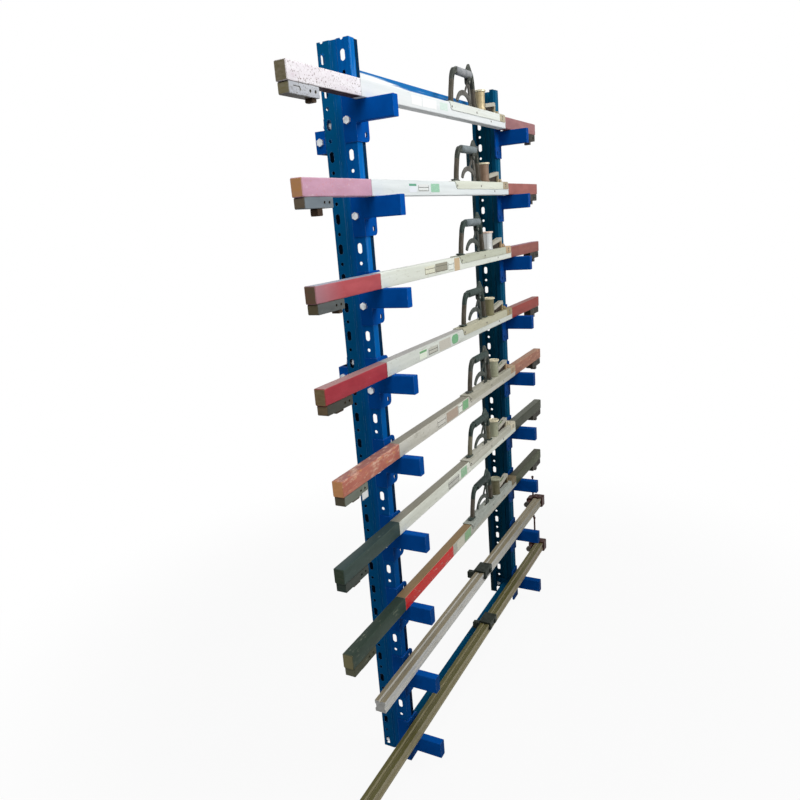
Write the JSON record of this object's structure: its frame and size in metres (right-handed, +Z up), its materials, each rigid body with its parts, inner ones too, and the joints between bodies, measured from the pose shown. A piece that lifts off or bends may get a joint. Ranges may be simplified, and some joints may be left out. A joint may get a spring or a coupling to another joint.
{
  "type": "cantilever tool rack",
  "caption": "Wall-tied cantilever rack of perforated blue uprights with arms, holding long bar gauges with trigger handles and sliding-jaw bar clamps.",
  "frame": {"origin": "middle of the wall fixing holes, on the wall plane", "axes": "+Z up, +Y into the wall, +X along the stored bars; the arms reach towards -Y"},
  "size_m": [1.6571, 0.228, 2.066],
  "materials": {
    "upright_paint": "satin enamel",
    "arm_paint": "satin enamel",
    "zinc_plate": "zinc plated",
    "white_bar": "painted white, worn",
    "cream_bar": "painted cream, worn",
    "grey_bar": "painted grey, worn",
    "white_block": "worn white paint",
    "red_block": "worn red paint",
    "grey_block": "worn dark paint",
    "handle_casting": "worn enamel",
    "drum_brass": "tarnished",
    "oiled_steel": "oiled",
    "oiled_iron": "dark, oiled",
    "jaw_iron": "painted black-green",
    "rail_1_paint": "worn",
    "rail_2_paint": "worn"
  },
  "bodies": {
    "rack": {"near_upright": "upright_paint", "far_upright": "upright_paint", "near_arms": "arm_paint", "far_arms": "arm_paint", "upper_cross_beam": "upright_paint", "lower_cross_beam": "arm_paint", "wall_ties": "upright_paint", "frame_bolts": "zinc_plate"},
    "gauge_1": {"gauge_1_bar": "white_bar", "gauge_1_end_blocks": "white_block", "gauge_1_handle": "handle_casting"},
    "gauge_1_feeler": {"gauge_1_feeler": "oiled_steel"},
    "gauge_1_trigger": {"gauge_1_trigger": "handle_casting"},
    "gauge_1_drum": {"gauge_1_drum": "drum_brass"},
    "gauge_2": {"gauge_2_bar": "white_bar", "gauge_2_end_blocks": "red_block", "gauge_2_handle": "handle_casting"},
    "gauge_2_feeler": {"gauge_2_feeler": "oiled_steel"},
    "gauge_2_trigger": {"gauge_2_trigger": "handle_casting"},
    "gauge_2_drum": {"gauge_2_drum": "drum_brass"},
    "gauge_3": {"gauge_3_bar": "cream_bar", "gauge_3_end_blocks": "red_block", "gauge_3_handle": "handle_casting"},
    "gauge_3_feeler": {"gauge_3_feeler": "oiled_steel"},
    "gauge_3_trigger": {"gauge_3_trigger": "handle_casting"},
    "gauge_3_drum": {"gauge_3_drum": "drum_brass"},
    "gauge_4": {"gauge_4_bar": "grey_bar", "gauge_4_end_blocks": "red_block", "gauge_4_handle": "handle_casting"},
    "gauge_4_feeler": {"gauge_4_feeler": "oiled_steel"},
    "gauge_4_trigger": {"gauge_4_trigger": "handle_casting"},
    "gauge_4_drum": {"gauge_4_drum": "drum_brass"},
    "gauge_5": {"gauge_5_bar": "grey_bar", "gauge_5_end_blocks": "red_block", "gauge_5_handle": "handle_casting"},
    "gauge_5_feeler": {"gauge_5_feeler": "oiled_steel"},
    "gauge_5_trigger": {"gauge_5_trigger": "handle_casting"},
    "gauge_5_drum": {"gauge_5_drum": "drum_brass"},
    "gauge_6": {"gauge_6_bar": "grey_bar", "gauge_6_end_blocks": "grey_block", "gauge_6_handle": "handle_casting"},
    "gauge_6_feeler": {"gauge_6_feeler": "oiled_steel"},
    "gauge_6_trigger": {"gauge_6_trigger": "handle_casting"},
    "gauge_6_drum": {"gauge_6_drum": "drum_brass"},
    "gauge_7": {"gauge_7_bar": "grey_bar", "gauge_7_end_blocks": "grey_block", "gauge_7_handle": "handle_casting"},
    "gauge_7_feeler": {"gauge_7_feeler": "oiled_steel"},
    "gauge_7_trigger": {"gauge_7_trigger": "handle_casting"},
    "gauge_7_drum": {"gauge_7_drum": "drum_brass"},
    "clamp_1": {"clamp_1_rail": "rail_1_paint", "clamp_1_head": "oiled_iron"},
    "clamp_1_jaw": {"clamp_1_jaw": "jaw_iron"},
    "clamp_1_pad": {"clamp_1_pad": "oiled_steel"},
    "clamp_1_screw": {"clamp_1_screw": "oiled_iron"},
    "clamp_2": {"clamp_2_rail": "rail_2_paint", "clamp_2_head": "oiled_iron"},
    "clamp_2_jaw": {"clamp_2_jaw": "jaw_iron"},
    "clamp_2_pad": {"clamp_2_pad": "oiled_steel"},
    "clamp_2_screw": {"clamp_2_screw": "oiled_iron"}
  },
  "joints": [
    {"name": "gauge_1_take_off", "type": "slide", "parent": "rack", "child": "gauge_1", "axis": [0, -1, 0], "range_m": [0, 0.15]},
    {"name": "gauge_1_stop_slide", "type": "slide", "parent": "gauge_1", "child": "gauge_1_feeler", "axis": [-0.9999, 0.0122, 0], "range_m": [0, 0.01875], "stiffness_N_per_m": 200, "springref_m": -0.006},
    {"name": "gauge_1_trigger_pull", "type": "hinge", "parent": "gauge_1", "child": "gauge_1_trigger", "pos_m": [0.08313, -0.15055, 0.503], "axis": [0.0122, 0.9999, 0], "range_deg": [0, 12.05]},
    {"name": "gauge_1_drum_turn", "type": "hinge", "parent": "gauge_1", "child": "gauge_1_drum", "pos_m": [0.17913, -0.15172, 0.445], "axis": [0, 0, 1], "range_deg": [-160, 160]},
    {"name": "gauge_2_take_off", "type": "slide", "parent": "rack", "child": "gauge_2", "axis": [0, -1, 0], "range_m": [0, 0.15]},
    {"name": "gauge_2_stop_slide", "type": "slide", "parent": "gauge_2", "child": "gauge_2_feeler", "axis": [-1, 0.0096, 0], "range_m": [0, 0.01875], "stiffness_N_per_m": 200, "springref_m": -0.006},
    {"name": "gauge_2_trigger_pull", "type": "hinge", "parent": "gauge_2", "child": "gauge_2_trigger", "pos_m": [0.08911, -0.15188, 0.278], "axis": [0.0096, 1, 0], "range_deg": [0, 12.05]},
    {"name": "gauge_2_drum_turn", "type": "hinge", "parent": "gauge_2", "child": "gauge_2_drum", "pos_m": [0.18511, -0.15281, 0.22], "axis": [0, 0, 1], "range_deg": [-160, 160]},
    {"name": "gauge_3_take_off", "type": "slide", "parent": "rack", "child": "gauge_3", "axis": [0, -1, 0], "range_m": [0, 0.15]},
    {"name": "gauge_3_stop_slide", "type": "slide", "parent": "gauge_3", "child": "gauge_3_feeler", "axis": [-1, 0.0087, 0], "range_m": [0, 0.01875], "stiffness_N_per_m": 200, "springref_m": -0.006},
    {"name": "gauge_3_trigger_pull", "type": "hinge", "parent": "gauge_3", "child": "gauge_3_trigger", "pos_m": [0.0951, -0.15186, 0.053], "axis": [0.0087, 1, 0], "range_deg": [0, 12.05]},
    {"name": "gauge_3_drum_turn", "type": "hinge", "parent": "gauge_3", "child": "gauge_3_drum", "pos_m": [0.1911, -0.15269, -0.005], "axis": [0, 0, 1], "range_deg": [-160, 160]},
    {"name": "gauge_4_take_off", "type": "slide", "parent": "rack", "child": "gauge_4", "axis": [0, -1, 0], "range_m": [0, 0.15]},
    {"name": "gauge_4_stop_slide", "type": "slide", "parent": "gauge_4", "child": "gauge_4_feeler", "axis": [-1, 0.0035, 0], "range_m": [0, 0.01875], "stiffness_N_per_m": 200, "springref_m": -0.006},
    {"name": "gauge_4_trigger_pull", "type": "hinge", "parent": "gauge_4", "child": "gauge_4_trigger", "pos_m": [0.08005, -0.15379, -0.172], "axis": [0.0035, 1, 0], "range_deg": [0, 12.05]},
    {"name": "gauge_4_drum_turn", "type": "hinge", "parent": "gauge_4", "child": "gauge_4_drum", "pos_m": [0.17605, -0.15413, -0.23], "axis": [0, 0, 1], "range_deg": [-160, 160]},
    {"name": "gauge_5_take_off", "type": "slide", "parent": "rack", "child": "gauge_5", "axis": [0, -1, 0], "range_m": [0, 0.15]},
    {"name": "gauge_5_stop_slide", "type": "slide", "parent": "gauge_5", "child": "gauge_5_feeler", "axis": [-1, -0.0052, 0], "range_m": [0, 0.01875], "stiffness_N_per_m": 200, "springref_m": -0.006},
    {"name": "gauge_5_trigger_pull", "type": "hinge", "parent": "gauge_5", "child": "gauge_5_trigger", "pos_m": [0.09591, -0.15548, -0.397], "axis": [-0.0052, 1, 0], "range_deg": [0, 12.05]},
    {"name": "gauge_5_drum_turn", "type": "hinge", "parent": "gauge_5", "child": "gauge_5_drum", "pos_m": [0.19191, -0.15498, -0.455], "axis": [0, 0, 1], "range_deg": [-160, 160]},
    {"name": "gauge_6_take_off", "type": "slide", "parent": "rack", "child": "gauge_6", "axis": [0, -1, 0], "range_m": [0, 0.15]},
    {"name": "gauge_6_stop_slide", "type": "slide", "parent": "gauge_6", "child": "gauge_6_feeler", "axis": [-1, 0.0052, 0], "range_m": [0, 0.01875], "stiffness_N_per_m": 200, "springref_m": -0.006},
    {"name": "gauge_6_trigger_pull", "type": "hinge", "parent": "gauge_6", "child": "gauge_6_trigger", "pos_m": [0.08907, -0.14748, -0.622], "axis": [0.0052, 1, 0], "range_deg": [0, 12.05]},
    {"name": "gauge_6_drum_turn", "type": "hinge", "parent": "gauge_6", "child": "gauge_6_drum", "pos_m": [0.18507, -0.14799, -0.68], "axis": [0, 0, 1], "range_deg": [-160, 160]},
    {"name": "gauge_7_take_off", "type": "slide", "parent": "rack", "child": "gauge_7", "axis": [0, -1, 0], "range_m": [0, 0.15]},
    {"name": "gauge_7_stop_slide", "type": "slide", "parent": "gauge_7", "child": "gauge_7_feeler", "axis": [-1, -0.0017, 0], "range_m": [0, 0.01875], "stiffness_N_per_m": 200, "springref_m": -0.006},
    {"name": "gauge_7_trigger_pull", "type": "hinge", "parent": "gauge_7", "child": "gauge_7_trigger", "pos_m": [0.07597, -0.14886, -0.847], "axis": [-0.0017, 1, 0], "range_deg": [0, 12.05]},
    {"name": "gauge_7_drum_turn", "type": "hinge", "parent": "gauge_7", "child": "gauge_7_drum", "pos_m": [0.17197, -0.14869, -0.905], "axis": [0, 0, 1], "range_deg": [-160, 160]},
    {"name": "clamp_1_take_off", "type": "slide", "parent": "rack", "child": "clamp_1", "axis": [0, -1, 0], "range_m": [0, 0.15]},
    {"name": "clamp_1_jaw_slide", "type": "slide", "parent": "clamp_1", "child": "clamp_1_jaw", "axis": [1, 0, 0], "range_m": [-0.45, 0.3]},
    {"name": "clamp_1_pad_slide", "type": "slide", "parent": "clamp_1", "child": "clamp_1_pad", "axis": [1, 0, 0], "range_m": [0, 0.0301]},
    {"name": "clamp_1_screw_turn", "type": "hinge", "parent": "clamp_1_pad", "child": "clamp_1_screw", "pos_m": [0.73, -0.111, -1.173], "axis": [1, 0, 0], "range_deg": [0, 3600]},
    {"name": "clamp_2_take_off", "type": "slide", "parent": "rack", "child": "clamp_2", "axis": [0, -1, 0], "range_m": [0, 0.15]},
    {"name": "clamp_2_jaw_slide", "type": "slide", "parent": "clamp_2", "child": "clamp_2_jaw", "axis": [1, 0, 0], "range_m": [-0.45, 0.3]},
    {"name": "clamp_2_pad_slide", "type": "slide", "parent": "clamp_2", "child": "clamp_2_pad", "axis": [1, 0, 0], "range_m": [0, 0.0301]},
    {"name": "clamp_2_screw_turn", "type": "hinge", "parent": "clamp_2_pad", "child": "clamp_2_screw", "pos_m": [0.744, -0.11, -1.398], "axis": [1, 0, 0], "range_deg": [0, 3600]}
  ],
  "couplings": [
    {"joint": "gauge_1_trigger_pull", "follows": "gauge_1_stop_slide", "rad_per_m": 11.173},
    {"joint": "gauge_2_trigger_pull", "follows": "gauge_2_stop_slide", "rad_per_m": 11.173},
    {"joint": "gauge_3_trigger_pull", "follows": "gauge_3_stop_slide", "rad_per_m": 11.173},
    {"joint": "gauge_4_trigger_pull", "follows": "gauge_4_stop_slide", "rad_per_m": 11.173},
    {"joint": "gauge_5_trigger_pull", "follows": "gauge_5_stop_slide", "rad_per_m": 11.173},
    {"joint": "gauge_6_trigger_pull", "follows": "gauge_6_stop_slide", "rad_per_m": 11.173},
    {"joint": "gauge_7_trigger_pull", "follows": "gauge_7_stop_slide", "rad_per_m": 11.173},
    {"joint": "clamp_1_pad_slide", "follows": "clamp_1_screw_turn", "m_per_rad": 0.00047746},
    {"joint": "clamp_2_pad_slide", "follows": "clamp_2_screw_turn", "m_per_rad": 0.00047746}
  ]
}
